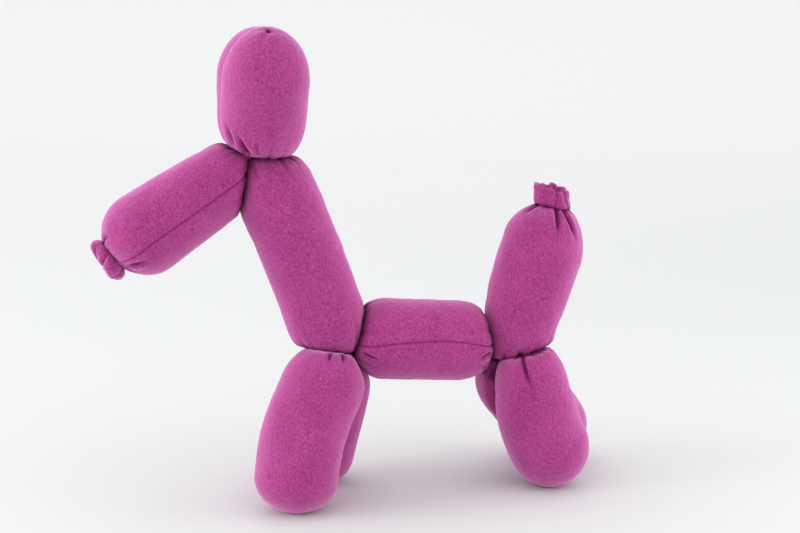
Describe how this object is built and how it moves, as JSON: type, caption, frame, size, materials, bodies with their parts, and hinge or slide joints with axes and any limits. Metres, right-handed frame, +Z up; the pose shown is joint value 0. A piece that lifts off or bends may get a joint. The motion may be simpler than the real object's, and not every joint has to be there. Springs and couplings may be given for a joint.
{
  "type": "stuffed balloon poodle",
  "caption": "Soft toy poodle sewn from stuffed fleece tubes in the shape of a twisted balloon dog, standing on its feet.",
  "frame": {"origin": "centre of the bounding box, on the ground that the feet stand on", "axes": "+Z up; the muzzle points along -X and the tail is at +X; the toy's left side is -Y"},
  "size_m": [0.315, 0.127, 0.28],
  "materials": {
    "fleece": "brushed nap, matt"
  },
  "bodies": {
    "root": {"muzzle": "fleece", "left_ear": "fleece", "right_ear": "fleece", "neck": "fleece", "left_front_leg": "fleece", "right_front_leg": "fleece", "body": "fleece", "left_hind_leg": "fleece", "right_hind_leg": "fleece", "tail": "fleece"}
  },
  "joints": []
}
